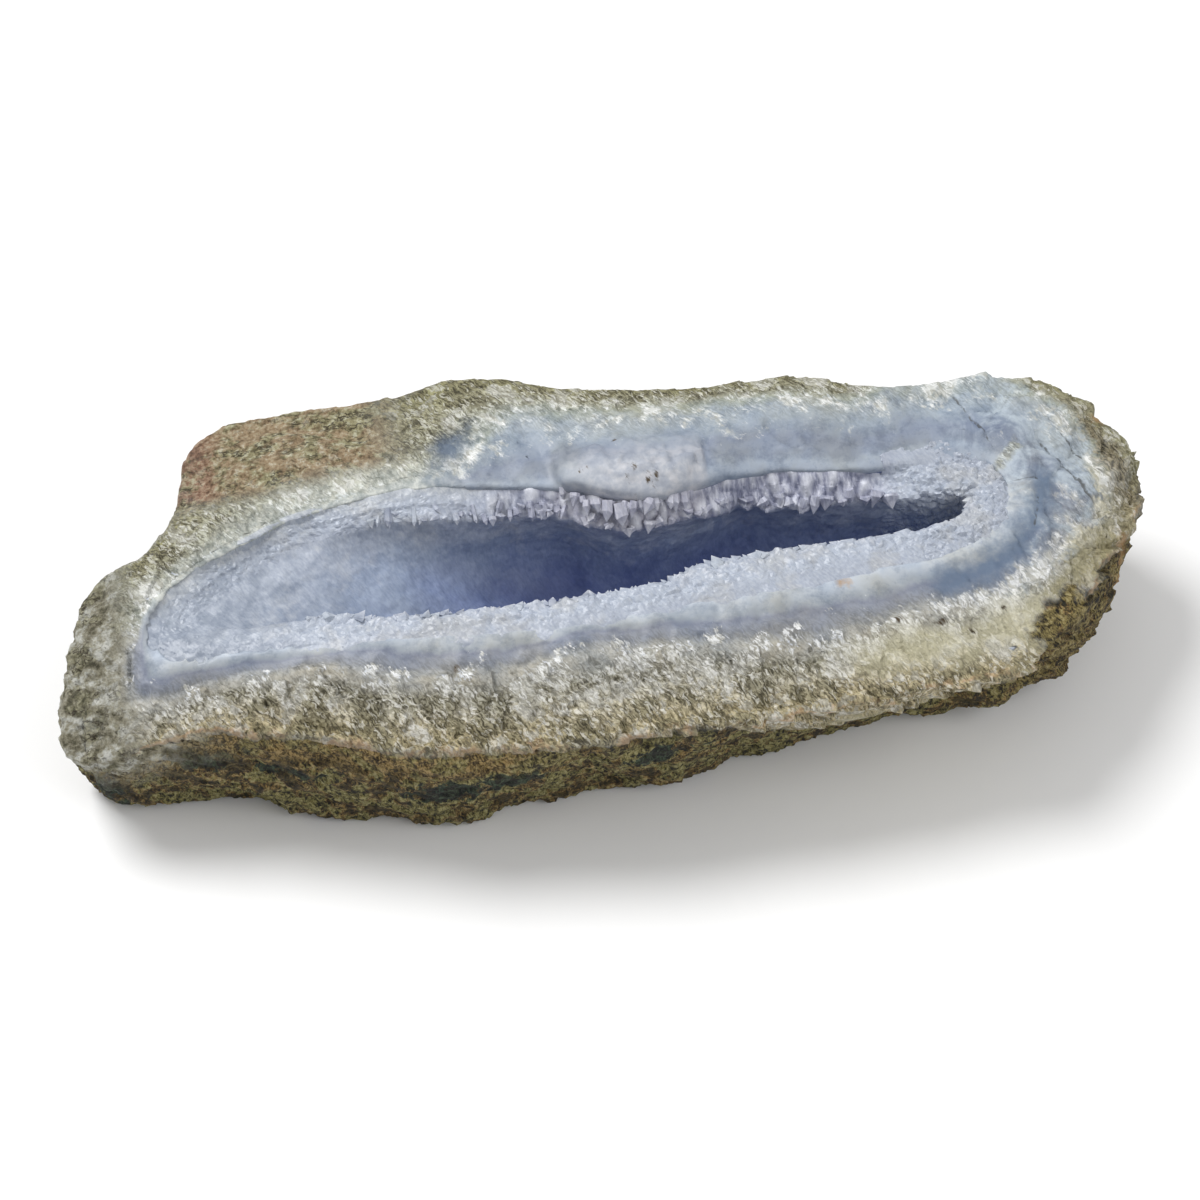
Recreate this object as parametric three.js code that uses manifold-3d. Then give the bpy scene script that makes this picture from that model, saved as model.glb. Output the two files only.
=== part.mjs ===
// Half of a blue lace agate geode: a long, rough nodule broken open along its length and
// lying on its rounded back. The stone is one natural piece, rock rind and agate band together,
// with a pocket in its broken face. A druse of quartz crystals lines that pocket as one crust.
// Millimetres, +X along the nodule, +Y towards its higher rim, +Z up, resting on Z = 0.

import * as THREE from 'three';
import { mergeVertices } from 'three/addons/utils/BufferGeometryUtils.js';
import { ImprovedNoise } from 'three/addons/math/ImprovedNoise.js';
import Module from 'manifold-3d';

const wasm = await Module();
wasm.setup();

// ---- Driving dimensions ----

const HALF_LENGTH = 92;        // of the whole nodule, along X
const HALF_WIDTH = 38;         // of the whole nodule, along Y
const HEART = new THREE.Vector2(-2, -4);   // plan point that every outline goes round

const ROCK_LUMP = { size: 12, height: 2.6 };     // lumps of the weathered outside
const ROCK_GRIT = { size: 5, height: 0.9 };      // smaller ones on top of them
const FACE_LUMP = { size: 8, height: 1.5 };      // unevenness of the agate band
const BLOCK_LUMP = { size: 6, height: 2.4 };     // the rough rock left at the far left
const FACE_CROWN = 1.3;        // how far the broken face swells between rim and crystals
const FLANK_BULGE = 1;         // how far the outside swells just below the rim
const BELLY = { low: -1, high: 0.6 };      // underside's mean height, middle and edge, before wear
const BELLY_LUMP = { size: 15, height: 5 };

const CRUST_GAP = 0.5;         // between the crust's back and the pocket that holds it
const CRUST_FLOOR = 4;         // thickness of the crust under the hollow
const CRUST_WALL = 1.8;        // how much wider the pocket swells than the hollow in it
const CRUST_SUNK = 1.3;        // how far the crust's far edge lies below the agate
const HOLLOW_FLOOR = 12;       // height of the hollow's floor where it is deepest
const HOLLOW_BULGE = 3;        // how far the hollow widens below its mouth
const TROUGH_SHALLOWS = 3;     // depth of the hollow and the pocket at their shallow ends
const OVERSHOOT = 9;           // how far a cutting body stands above what it cuts
const ABOVE_ALL = 50;          // height at which every cutting body is closed
const INSIDE_POCKET = 30;      // height at which the uncut stone is closed, inside the pocket
const INSIDE_HOLLOW = 34;      // height at which the uncut crust is closed, inside the hollow

const STONE_SEGMENTS = 80;
const HOLLOW_SEGMENTS = 36;
const TROUGH_ROWS = 6;
const POCKET_SEGMENTS = 44;    // of the pocket and the crust alike, so that their gap stays even

const KNOB = { x: 8.5, y: 13, z: 38, length: 27, width: 17, height: 6 };   // agate over the mouth
const KNOB_BREAK = 20;         // x at which the knob is broken off short

// ---- Outlines, as [x, y, z] going anticlockwise from the +X end ----

// The edge between the broken face and the weathered outside.
const RIM = [
  [94.5, 5, 30], [93, 9, 32], [88.5, 11, 34], [89.5, 14, 35], [83, 18.5, 36], [78, 21, 37],
  [66, 22, 38], [57, 21, 39], [49, 23, 39], [40, 27, 39], [23, 27.5, 39], [12, 29, 39],
  [-1, 32, 39], [-14, 37.5, 39], [-22, 38, 38], [-28, 37, 37], [-41, 39, 35], [-50, 40, 34],
  [-58.5, 39.5, 33], [-63, 36.5, 33], [-66, 30, 33], [-68.5, 19.5, 33], [-76, 13, 31],
  [-81.5, 12.3, 30], [-85.5, 5.5, 28], [-89, -8, 24], [-91, -15, 20], [-86, -19, 21],
  [-77, -20, 25], [-68, -20.5, 27], [-59, -23.5, 28], [-48, -27, 28], [-37, -31.5, 28],
  [-22, -34, 28], [-7, -36.5, 29], [9, -36, 29], [25, -36.5, 29], [45, -36, 29],
  [57, -36, 29], [64.5, -35, 29], [68, -31, 29], [77, -23, 29], [82, -15, 29], [89, -8, 28],
];

// The steep outside below the rim.
const WAIST = [
  [89, 3, 16], [85.5, -6, 13], [83, -12, 12], [80, -16.5, 9], [73, -21.5, 11], [66, -24, 12],
  [53, -24, 15], [42, -23, 13], [35.5, -23.5, 9], [27, -24.5, 7], [18.5, -25, 7], [10, -26, 6],
  [0, -26.5, 5], [-8.5, -27, 5], [-17, -27.5, 5], [-24, -28, 4], [-34, -27, 4], [-42, -25.5, 4],
  [-54.5, -21, 4], [-62.5, -16.5, 4], [-71, -15, 4], [-83.5, -13.5, 4], [-87, -12, 7],
  [-90.5, -10.5, 11], [-88, 0, 14], [-83, 9.5, 16], [-75, 12, 18], [-68, 20, 20], [-64.5, 30, 20],
  [-62, 39, 20], [-50, 41.5, 20], [-36, 41, 20], [-22, 40, 20], [-8, 37, 20], [10, 32, 20],
  [30, 30, 20], [50, 27, 19], [66, 25, 18], [80, 22, 17], [89, 13, 16],
];

// Where the back curves away from the surface that the nodule lies on.
const FOOT = [
  [80, -4, 0], [72, 8, 0], [50, 13, 0], [20, 19, 0], [-12, 27, 0], [-42, 31, 0], [-58, 27, 0],
  [-70, 12, 0], [-80, 4, 0], [-84, -5, 0], [-82, -11, 0], [-62, -15, 0], [-45, -22, 0],
  [-28, -25, 0], [-14, -24, 0], [8, -23.5, 0], [25, -21, 0], [40, -17, 0], [58, -12.5, 0], [72, -12, 0],
];

// Where the agate band ends and the crystals begin: the pocket's edge on the broken face.
const POCKET = [
  [68, 1, 36], [65, 6, 36], [59, 7.5, 37], [52, 6.5, 37], [45, 5, 37], [35, 7.4, 37],
  [27.5, 8.4, 37], [21.5, 7.4, 37.3], [15.5, 5.4, 37.5], [9, 5, 37.5],
  [2, 7.3, 37.5], [-4, 10.8, 37], [-13, 12.6, 37], [-22, 15, 36.7],
  [-31, 16, 36.5], [-40, 15, 36], [-48, 13.5, 35.5], [-57, 10, 35], [-65, 7, 34],
  [-72, 2, 33], [-74, -3.5, 31.5], [-71, -8, 32], [-57, -10.5, 34], [-41, -12.3, 35],
  [-32, -14.3, 36], [-13, -15.8, 36], [13, -15.6, 36], [38, -15, 36], [55.5, -13.6, 36],
  [62, -10.5, 36], [67, -4.7, 36],
];

// The hollow's mouth, where the crystals round it are rooted.
const MOUTH = [
  [61, -1, 34], [52, 1, 33], [44, 3, 32], [34, 4.2, 32], [25, 6.6, 32], [18, 4.4, 33],
  [7, 2.8, 33], [0, 5, 33], [-4, 8, 33], [-12, 9.6, 33], [-19, 9.8, 33], [-29, 11.6, 33],
  [-38, 12, 33], [-48, 11, 33], [-57, 7, 32.5], [-65, 1.5, 32], [-66.5, -3, 32],
  [-58, -5.4, 33], [-44, -7, 34.5], [-36, -9.6, 35.3], [-15, -11.5, 35.6], [-2, -11.6, 35.6],
  [8, -10.8, 35.6], [16, -8.4, 35.6], [32, -8.2, 35.6], [54, -8.2, 35.6], [60.5, -5.2, 35],
];

// ---- Shared helpers ----

const noise = new ImprovedNoise();
const mix = THREE.MathUtils.lerp;
const smooth = THREE.MathUtils.smoothstep;
const lump = (p, kind, shift = 0) => (
  kind.height * noise.noise(p.x / kind.size + shift, p.y / kind.size + shift, p.z / kind.size)
);

let seed = 20;
const random = () => {
  seed = (seed * 16807) % 2147483647;
  return seed / 2147483647;
};
const between = (low, high) => mix(low, high, random());

// Angle of a plan point round the heart, on a plan squeezed to a circle.
const angleOf = (p) => Math.atan2((p.y - HEART.y) / HALF_WIDTH, (p.x - HEART.x) / HALF_LENGTH);

// Plan direction in which the outside of the nodule faces at a point.
const outwards = (p) => new THREE.Vector3(
  (p.x - HEART.x) / HALF_LENGTH ** 2, (p.y - HEART.y) / HALF_WIDTH ** 2, 0,
).normalize();

// A closed outline as a function of that angle. A positive inset moves it inwards.
function outline(points, inset = 0) {
  const curve = new THREE.CatmullRomCurve3(points.map((p) => new THREE.Vector3(...p)), true);
  const steps = 900;
  const samples = [];
  for (let i = 0; i < steps; i += 1) {
    const p = curve.getPoint(i / steps);
    const along = curve.getTangent(i / steps);
    const inwards = new THREE.Vector3(-along.y, along.x, 0).normalize();
    p.addScaledVector(inwards, inset);
    samples.push({ angle: angleOf(p), p });
  }
  samples.sort((a, b) => a.angle - b.angle);
  return (angle) => {
    const wrapped = Math.atan2(Math.sin(angle), Math.cos(angle));
    let high = samples.findIndex((s) => s.angle >= wrapped);
    if (high < 0) high = 0;
    const before = samples[(high + steps - 1) % steps];
    const after = samples[high];
    const turn = 2 * Math.PI;
    const span = (after.angle - before.angle + turn) % turn;
    const share = span > 0 ? ((wrapped - before.angle + turn) % turn) / span : 0;
    return new THREE.Vector3().lerpVectors(before.p, after.p, share);
  };
}

const pole = (z) => () => new THREE.Vector3(HEART.x, HEART.y, z);
const ringBetween = (a, b, share) => (angle) => new THREE.Vector3().lerpVectors(a(angle), b(angle), share);
const raised = (ring, by) => (angle) => ring(angle).add(new THREE.Vector3(0, 0, by));

// A closed body whose rings run from the pole on top to the pole underneath.
// Each ring is a function of the angle, and a pole is a ring that gives one point.
function ringBody(rings, segments) {
  const geometry = new THREE.SphereGeometry(1, segments, rings.length - 1);
  const position = geometry.attributes.position;
  const p = new THREE.Vector3();
  for (let row = 0; row < rings.length; row += 1) {
    for (let step = 0; step <= segments; step += 1) {
      const angle = Math.PI + (2 * Math.PI * (step % segments)) / segments;
      p.copy(rings[row](angle));
      position.setXYZ(row * (segments + 1) + step, p.x, p.y, p.z);
    }
  }
  return solid(geometry);
}

function solid(geometry) {
  const bare = geometry.clone();
  bare.deleteAttribute('normal');
  bare.deleteAttribute('uv');
  const merged = mergeVertices(bare, 1e-5);
  return new wasm.Manifold(new wasm.Mesh({
    numProp: 3,
    vertProperties: new Float32Array(merged.attributes.position.array),
    triVerts: new Uint32Array(merged.index.array),
  }));
}

function block(low, high) {
  const size = new THREE.Vector3().subVectors(high, low);
  const centre = new THREE.Vector3().addVectors(low, high).multiplyScalar(0.5);
  return solid(new THREE.BoxGeometry(size.x, size.y, size.z).translate(centre.x, centre.y, centre.z));
}

function namedMesh(name, body, colour, roughness) {
  const mesh = body.getMesh();
  const geometry = new THREE.BufferGeometry();
  geometry.setAttribute('position', new THREE.BufferAttribute(mesh.vertProperties, 3));
  geometry.setIndex(new THREE.BufferAttribute(mesh.triVerts, 1));
  geometry.computeVertexNormals();
  const material = new THREE.MeshStandardMaterial({ color: colour, roughness, metalness: 0 });
  const made = new THREE.Mesh(geometry, material);
  made.name = name;
  return made;
}

// ---- Stone ----

const rim = outline(RIM);
const waist = outline(WAIST);
const foot = outline(FOOT);
const pocketEdge = outline(POCKET);
const mouth = outline(MOUTH);

// 1 on the rough rock at the far left of the broken face, 0 on the agate.
const rockShare = (p) => smooth(p.y, 17, 24) * (1 - smooth(p.x, -40, -24));

// share 0 is the rim, 1 the pocket's edge.
function faceRing(share) {
  return (angle) => {
    const p = new THREE.Vector3().lerpVectors(rim(angle), pocketEdge(angle), share);
    p.z += FACE_CROWN * Math.sin(Math.PI * share);
    if (share < 1) p.z += lump(p, FACE_LUMP, 3) + rockShare(p) * lump(p, BLOCK_LUMP, 5);
    return p;
  };
}

// share 0 is the rim, 0.5 the waist, 1 the foot.
function flankRing(share) {
  return (angle) => {
    const p = new THREE.Vector3();
    if (share < 0.5) {
      p.lerpVectors(rim(angle), waist(angle), share * 2);
      p.addScaledVector(outwards(p), FLANK_BULGE * Math.sin(2 * Math.PI * share));
    } else {
      const turn = (share - 0.5) * Math.PI;
      const high = waist(angle);
      const low = foot(angle);
      p.lerpVectors(high, low, 1 - Math.cos(turn));
      p.z = mix(high.z, BELLY.high, Math.sin(turn));
    }
    const swing = lump(p, ROCK_LUMP) + lump(p, ROCK_GRIT, 9);
    p.addScaledVector(outwards(p), swing * smooth(share, 0, 0.2));
    p.z += 0.5 * swing * smooth(share, 0.4, 0.8);
    return p;
  };
}

function bellyRing(share) {
  return (angle) => {
    const p = new THREE.Vector3().lerpVectors(pole(0)(), foot(angle), share);
    p.z = mix(BELLY.low, BELLY.high, share) + lump(p, BELLY_LUMP, 2);
    return p;
  };
}

// The knob of agate that hangs over the hollow's mouth, broken off short on its +X side.
function knobBody(extra) {
  const ball = new THREE.SphereGeometry(0.5, 22, 12);
  const position = ball.attributes.position;
  const p = new THREE.Vector3();
  for (let i = 0; i < position.count; i += 1) {
    p.fromBufferAttribute(position, i);
    p.multiply(new THREE.Vector3(KNOB.length + extra, KNOB.width + extra, KNOB.height + extra));
    p.add(new THREE.Vector3(KNOB.x, KNOB.y, KNOB.z));
    p.z += lump(p, FACE_LUMP, 7);
    position.setXYZ(i, p.x, p.y, p.z);
  }
  const broken = block(
    new THREE.Vector3(KNOB_BREAK + extra / 2, -HALF_WIDTH, 0),
    new THREE.Vector3(HALF_LENGTH, HALF_WIDTH, 2 * KNOB.z),
  );
  return solid(ball).subtract(broken);
}

// Height of the hollow's floor at x: deepest right of the middle, shallow towards -X.
function floorAt(x, shallow) {
  const left = 1 - smooth(x, -68, 6);
  const right = smooth(x, 46, 68);
  return mix(HOLLOW_FLOOR, shallow, Math.max(left ** 1.3, 0.35 * right));
}

// Rings from a lip down to the pole of a trough whose floor lies depth below floorAt.
function troughRings(lip, depth, bulge, rows) {
  const rings = [];
  for (let row = 1; row < rows; row += 1) {
    const t = row / rows;
    const reach = (1 - t ** 3) ** 0.6;
    const drop = 1 - (1 - t) ** 1.8;
    const swell = bulge * Math.sin(Math.PI * Math.min(1, t * 1.3));
    rings.push((angle) => {
      const top = lip(angle);
      const p = new THREE.Vector3(mix(HEART.x, top.x, reach), mix(HEART.y, top.y, reach), 0);
      p.z = mix(top.z, floorAt(p.x, top.z - TROUGH_SHALLOWS) - depth, drop);
      return p.addScaledVector(outwards(p), swell);
    });
  }
  rings.push(pole(floorAt(HEART.x, 0) - depth));
  return rings;
}

// The room inside the stone for the crust, open upwards.
function pocketSpace(edge, depth) {
  const trough = troughRings(edge, depth, HOLLOW_BULGE + CRUST_WALL, TROUGH_ROWS);
  return ringBody([pole(ABOVE_ALL), raised(edge, OVERSHOOT), edge, ...trough], POCKET_SEGMENTS);
}

function stoneBody() {
  const inside = pole(INSIDE_POCKET);
  const rings = [
    inside,
    ringBetween(inside, pocketEdge, 0.6),
    ...[1, 0.84, 0.67, 0.5, 0.33, 0.16].map(faceRing),
    rim,
    ...[0.1, 0.22, 0.35, 0.5, 0.62, 0.76, 0.9].map(flankRing),
    ...[0.86, 0.6, 0.3].map(bellyRing),
    pole(BELLY.low),
  ];
  const below = block(
    new THREE.Vector3(-2 * HALF_LENGTH, -2 * HALF_WIDTH, -OVERSHOOT),
    new THREE.Vector3(2 * HALF_LENGTH, 2 * HALF_WIDTH, 0),
  );
  return ringBody(rings, STONE_SEGMENTS)
    .add(knobBody(0))
    .subtract(pocketSpace(pocketEdge, CRUST_FLOOR))
    .subtract(below);
}

// ---- Crust ----

const crustEdge = outline(POCKET, CRUST_GAP);

// The far side of the crust lies lower than the agate, which overhangs it.
const sunkEdge = (angle) => {
  const p = crustEdge(angle);
  p.z -= CRUST_SUNK * smooth(p.y, 0, 4) * smooth(p.x, -30, 22);
  return p;
};

// A quartz crystal: a six-sided prism that ends in a six-sided point.
function crystal(root, direction, radius, length) {
  const shoulder = Math.max(length - radius * 1.3, -radius / 2);
  const profile = [
    new THREE.Vector2(0, -radius), new THREE.Vector2(radius, shoulder), new THREE.Vector2(0, length),
  ];
  if (shoulder > 0) profile.splice(1, 0, new THREE.Vector2(radius, -radius));
  const geometry = new THREE.LatheGeometry(profile, 6, between(0, Math.PI));
  const up = new THREE.Vector3(0, 1, 0);
  geometry.applyQuaternion(new THREE.Quaternion().setFromUnitVectors(up, direction.clone().normalize()));
  return solid(geometry.translate(root.x, root.y, root.z));
}

// A row of crystals along part of the crust, from one angle to another.
// share 0 is the mouth, 1 the crust's edge. lean is how far they point over the hollow.
function crystalRow({ count, from, to, share, lean, rise, radius, length }) {
  return Array.from({ length: count }, (_, i) => {
    const angle = mix(from, to, (i + between(0.25, 0.75)) / count);
    const root = ringBetween(mouth, sunkEdge, share + between(-0.08, 0.08))(angle);
    const direction = outwards(root).multiplyScalar(-lean * between(0.7, 1.3));
    direction.x += between(-0.25, 0.25);
    direction.z = rise + between(-0.15, 0.15);
    const size = radius * between(0.75, 1.25) * mix(0.5, 1, smooth(root.x, -62, -25));
    return crystal(root, direction, size, size * length * between(0.85, 1.2));
  });
}

const FAR_SIDE = { from: 0.06, to: 2.6 };
const NEAR_SIDE = { from: -2.9, to: -0.1 };

function crustBody() {
  const depth = CRUST_FLOOR - CRUST_GAP;
  const trough = troughRings(crustEdge, depth, HOLLOW_BULGE + CRUST_WALL, TROUGH_ROWS);
  const inside = pole(INSIDE_HOLLOW);
  const body = ringBody(
    [inside, ringBetween(inside, mouth, 0.9), mouth, sunkEdge, ...trough],
    POCKET_SEGMENTS,
  );
  const hollow = ringBody(
    [pole(ABOVE_ALL), raised(mouth, OVERSHOOT), mouth, ...troughRings(mouth, 0, HOLLOW_BULGE, TROUGH_ROWS)],
    HOLLOW_SEGMENTS,
  );
  const points = [
    ...crystalRow({ ...FAR_SIDE, count: 38, share: 0.1, lean: 1, rise: -0.3, radius: 1.8, length: 1.9 }),
    ...crystalRow({ ...FAR_SIDE, count: 14, share: 0.6, lean: 1, rise: 0.7, radius: 1.7, length: 1.1 }),
    ...crystalRow({ ...NEAR_SIDE, count: 32, share: 0.12, lean: 0.7, rise: 1, radius: 1.3, length: 1.2 }),
    ...crystalRow({ ...NEAR_SIDE, count: 12, share: 0.55, lean: 0.2, rise: 1, radius: 1.4, length: 0.8 }),
  ];
  return wasm.Manifold.union([body.subtract(hollow), ...points])
    .intersect(pocketSpace(crustEdge, depth))
    .subtract(knobBody(2 * CRUST_GAP));
}

const stone = stoneBody();
const crust = crustBody();

const geode = new THREE.Group();
geode.add(namedMesh('geode_stone', stone, 0x9a9684, 0.85));
geode.add(namedMesh('crystal_crust', crust, 0xaab6cc, 0.25));

// The origin is the middle of the underside's box, on the surface that the stone rests on.
const box = new THREE.Box3().setFromObject(geode);
const middle = box.getCenter(new THREE.Vector3());
geode.position.set(-middle.x, -middle.y, -box.min.z);

export default geode;
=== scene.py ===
"""Blue lace agate geode: the looks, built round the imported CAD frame. Blender 4.5, metres, +Z up.

Two pieces stand for the two CAD nodes. The stone is the CAD solid, remeshed and worked into rind,
fibrous quartz and chalcedony. The crust is the druse: a lining of small quartz points, fringed with
larger crystals. Shapes are worked out in millimetres of the part's source.
"""
import math

import bpy
import numpy as np
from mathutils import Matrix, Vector, noise
from mathutils.bvhtree import BVHTree
from mathutils.kdtree import KDTree


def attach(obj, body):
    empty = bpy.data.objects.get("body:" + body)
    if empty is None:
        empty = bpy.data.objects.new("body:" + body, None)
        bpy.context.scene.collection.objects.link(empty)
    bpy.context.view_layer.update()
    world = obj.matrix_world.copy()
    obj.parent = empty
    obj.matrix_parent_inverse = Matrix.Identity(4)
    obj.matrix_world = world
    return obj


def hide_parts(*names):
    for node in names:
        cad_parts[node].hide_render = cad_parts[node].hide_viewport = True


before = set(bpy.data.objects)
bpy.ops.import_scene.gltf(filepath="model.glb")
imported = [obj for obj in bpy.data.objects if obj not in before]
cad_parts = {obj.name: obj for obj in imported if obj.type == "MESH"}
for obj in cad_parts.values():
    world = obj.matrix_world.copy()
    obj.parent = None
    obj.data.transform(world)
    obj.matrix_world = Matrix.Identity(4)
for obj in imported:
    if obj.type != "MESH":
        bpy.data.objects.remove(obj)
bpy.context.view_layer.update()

MM = 0.001
RNG = np.random.default_rng(11)

# ---- Outlines of the part's own source, in its millimetres, anticlockwise from the +X end ----

SOURCE_MIDDLE = np.array([1.79, 2.63, 0])   # the middle of the source's plan, the frame's origin

RIM = [
    [94.5, 5, 30], [93, 9, 32], [88.5, 11, 34], [89.5, 14, 35], [83, 18.5, 36], [78, 21, 37],
    [66, 22, 38], [57, 21, 39], [49, 23, 39], [40, 27, 39], [23, 27.5, 39], [12, 29, 39],
    [-1, 32, 39], [-14, 37.5, 39], [-22, 38, 38], [-28, 37, 37], [-41, 39, 35], [-50, 40, 34],
    [-58.5, 39.5, 33], [-63, 36.5, 33], [-66, 30, 33], [-68.5, 19.5, 33], [-76, 13, 31],
    [-81.5, 12.3, 30], [-85.5, 5.5, 28], [-89, -8, 24], [-91, -15, 20], [-86, -19, 21],
    [-77, -20, 25], [-68, -20.5, 27], [-59, -23.5, 28], [-48, -27, 28], [-37, -31.5, 28],
    [-22, -34, 28], [-7, -36.5, 29], [9, -36, 29], [25, -36.5, 29], [45, -36, 29],
    [57, -36, 29], [64.5, -35, 29], [68, -31, 29], [77, -23, 29], [82, -15, 29], [89, -8, 28],
]
# Outer edge of the blue chalcedony, where the quartz band begins.
BLUE = [
    [86.5, 1.6, 33], [84.8, 10.4, 35], [79.5, 16.4, 36], [73.2, 19, 37], [64.3, 19.5, 38],
    [55.5, 19.6, 38.5], [46.9, 20, 39], [31.9, 22.5, 39], [21.7, 23.3, 39], [14.8, 23.4, 39],
    [4.7, 24.2, 39], [-5.1, 26.8, 38.5], [-12, 26.3, 38], [-16, 22.4, 37.5], [-20.9, 18.8, 37],
    [-30.4, 18, 36.5], [-39.7, 17, 36], [-47.4, 15.2, 35.5], [-54.3, 13.4, 35], [-62.1, 9.6, 34],
    [-68.3, 6.5, 33.5], [-74, 2.4, 32.5], [-76.6, -4, 31], [-77.2, -12.5, 28], [-67.1, -13.2, 30],
    [-57.6, -14.4, 31], [-46.7, -16.6, 32], [-36.1, -20.1, 32], [-28.2, -21.2, 32],
    [-17.2, -22.3, 33], [-7.5, -22.3, 33], [2, -22.9, 33], [11.7, -23.3, 33], [21.2, -24.6, 33],
    [30.8, -25.6, 33], [39.5, -24.3, 33], [48.1, -22.8, 33], [55, -22, 33], [62, -21, 33],
    [69.6, -18.1, 33], [77.4, -11.9, 33], [83.4, -6.1, 33],
]
POCKET = [
    [68, 1, 36], [65, 6, 36], [59, 7.5, 37], [52, 6.5, 37], [45, 5, 37], [35, 7.4, 37],
    [27.5, 8.4, 37], [21.5, 7.4, 37.3], [15.5, 5.4, 37.5], [9, 5, 37.5], [2, 7.3, 37.5],
    [-4, 10.8, 37], [-13, 12.6, 37], [-22, 15, 36.7], [-31, 16, 36.5], [-40, 15, 36],
    [-48, 13.5, 35.5], [-57, 10, 35], [-65, 7, 34], [-72, 2, 33], [-74, -3.5, 31.5],
    [-71, -8, 32], [-57, -10.5, 34], [-41, -12.3, 35], [-32, -14.3, 36], [-13, -15.8, 36],
    [13, -15.6, 36], [38, -15, 36], [55.5, -13.6, 36], [62, -10.5, 36], [67, -4.7, 36],
]
MOUTH = [
    [61, -1, 34], [52, 1, 33], [44, 3, 32], [34, 4.2, 32], [25, 6.6, 32], [18, 4.4, 33],
    [7, 2.8, 33], [0, 5, 33], [-4, 8, 33], [-12, 9.6, 33], [-19, 9.8, 33], [-29, 11.6, 33],
    [-38, 12, 33], [-48, 11, 33], [-57, 7, 32.5], [-65, 1.5, 32], [-66.5, -3, 32],
    [-58, -5.4, 33], [-44, -7, 34.5], [-36, -9.6, 35.3], [-15, -11.5, 35.6], [-2, -11.6, 35.6],
    [8, -10.8, 35.6], [16, -8.4, 35.6], [32, -8.2, 35.6], [54, -8.2, 35.6], [60.5, -5.2, 35],
]
HEART = np.array([-2.0, -4.0])   # angles go round this point
HALF = np.array([92.0, 38.0])    # half length and half width of the plan
# The knob's oval over the mouth, and where its right end is broken off.
KNOB_X, KNOB_Y, KNOB_LENGTH, KNOB_WIDTH, KNOB_BREAK = 8.5, 13, 27, 17, 20


def closed_curve(points, steps=900):
    """A closed Catmull-Rom curve through the points, as an array of samples."""
    p = np.array(points, float)
    n = len(p)
    t = np.linspace(0, n, steps, endpoint=False)
    i = t.astype(int)
    f = (t - i)[:, None]
    p0, p1, p2, p3 = (p[(i + k) % n] for k in (-1, 0, 1, 2))
    return 0.5 * (
        2 * p1 + (p2 - p0) * f + (2 * p0 - 5 * p1 + 4 * p2 - p3) * f**2
        + (3 * p1 - p0 - 3 * p2 + p3) * f**3
    )


# ---- Plan geometry, in millimetres of the part's source ----


def kd_tree(points):
    tree = KDTree(len(points))
    for i, p in enumerate(points):
        tree.insert(p, i)
    tree.balance()
    return tree


class Outline:
    """A closed outline that goes round the heart of the plan: its reach, height and distance."""

    def __init__(self, points):
        self.samples = closed_curve(points)
        self.angle, self.radius = polar(self.samples[:, :2])
        self.tree = kd_tree(self.samples * (1, 1, 0))

    def read(self, angle, values):
        """The samples' values at each angle."""
        return np.interp(angle, self.angle, values, period=2 * np.pi)

    def at(self, angle):
        """Plan point and height at each angle, as (n, 3)."""
        radius = self.read(angle, self.radius)
        x = HEART[0] + HALF[0] * radius * np.cos(angle)
        y = HEART[1] + HALF[1] * radius * np.sin(angle)
        return np.stack([x, y, self.read(angle, self.samples[:, 2])], 1)

    def gap(self, plan):
        """Distance of plan points to the outline, negative inside it."""
        angle, radius = polar(plan)
        away = np.array([self.tree.find((x, y, 0))[2] for x, y in plan])
        return np.where(radius < self.read(angle, self.radius), -away, away)


def polar(plan):
    """Angle and radius of plan points round the heart, on the nodule's own scale."""
    d = (plan - HEART) / HALF
    return np.arctan2(d[:, 1], d[:, 0]), np.hypot(d[:, 0], d[:, 1])


def outwards(plan):
    """Unit plan directions in which the nodule's outside faces."""
    d = (plan - HEART) / HALF**2
    d = d / np.maximum(np.linalg.norm(d, axis=1, keepdims=True), 1e-9)
    return np.pad(d, ((0, 0), (0, 1)))


def rise(x, low, high):
    """0 up to low, 1 from high on, and a smooth step between them."""
    t = np.clip((x - low) / (high - low), 0, 1)
    return t * t * (3 - 2 * t)


def fade(x, low, high):
    """1 up to low, and 0 from high on."""
    return 1 - rise(x, low, high)


def between(x, start, full, fading, end):
    """1 from full to fading, and 0 before start and after end."""
    return rise(x, start, full) * fade(x, fading, end)


def mix(a, b, t):
    return a + (b - a) * t


def to_frame(points):
    """Source millimetres to metres of the frame."""
    return (points - SOURCE_MIDDLE) * MM


def to_source(points):
    return points / MM + SOURCE_MIDDLE


rim, blue, pocket, mouth = Outline(RIM), Outline(BLUE), Outline(POCKET), Outline(MOUTH)

# ---- Solid noise, at points in millimetres ----


def clouds(points, size, octaves=4, shift=0):
    return np.array([noise.fractal(p, 1, 2.1, octaves) for p in points / size + shift])


def plates(points, size, step, shift=0):
    """Height of broken plates, about so large, each flat, tilted and stepped its own way."""
    heights = np.empty(len(points))
    for i, p in enumerate(points / size + shift):
        near = noise.voronoi(p)[1][0]
        turn = noise.cell_vector(near * 9.7)
        heights[i] = (Vector(p) - near).dot(turn) + step * turn.z
    return heights * size


def druse(points, size, shift=0, lengths=(1, 1, 1)):
    """Height of pointed crystals that stand close together, each about so wide and half as high."""
    stretched = points / (size * np.array(lengths)) + shift
    nearest = np.array([noise.voronoi(p)[0][:2] for p in stretched])
    return (nearest[:, 1] - nearest[:, 0]) * size


# ---- Camera, floor and light ----

CAMERA_TURN = math.radians(-11)
CAMERA_TILT = math.radians(50)
CAMERA_DISTANCE = 0.475
CAMERA_TARGET = Vector((-0.0017, -0.0026, 0.020))


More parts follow.
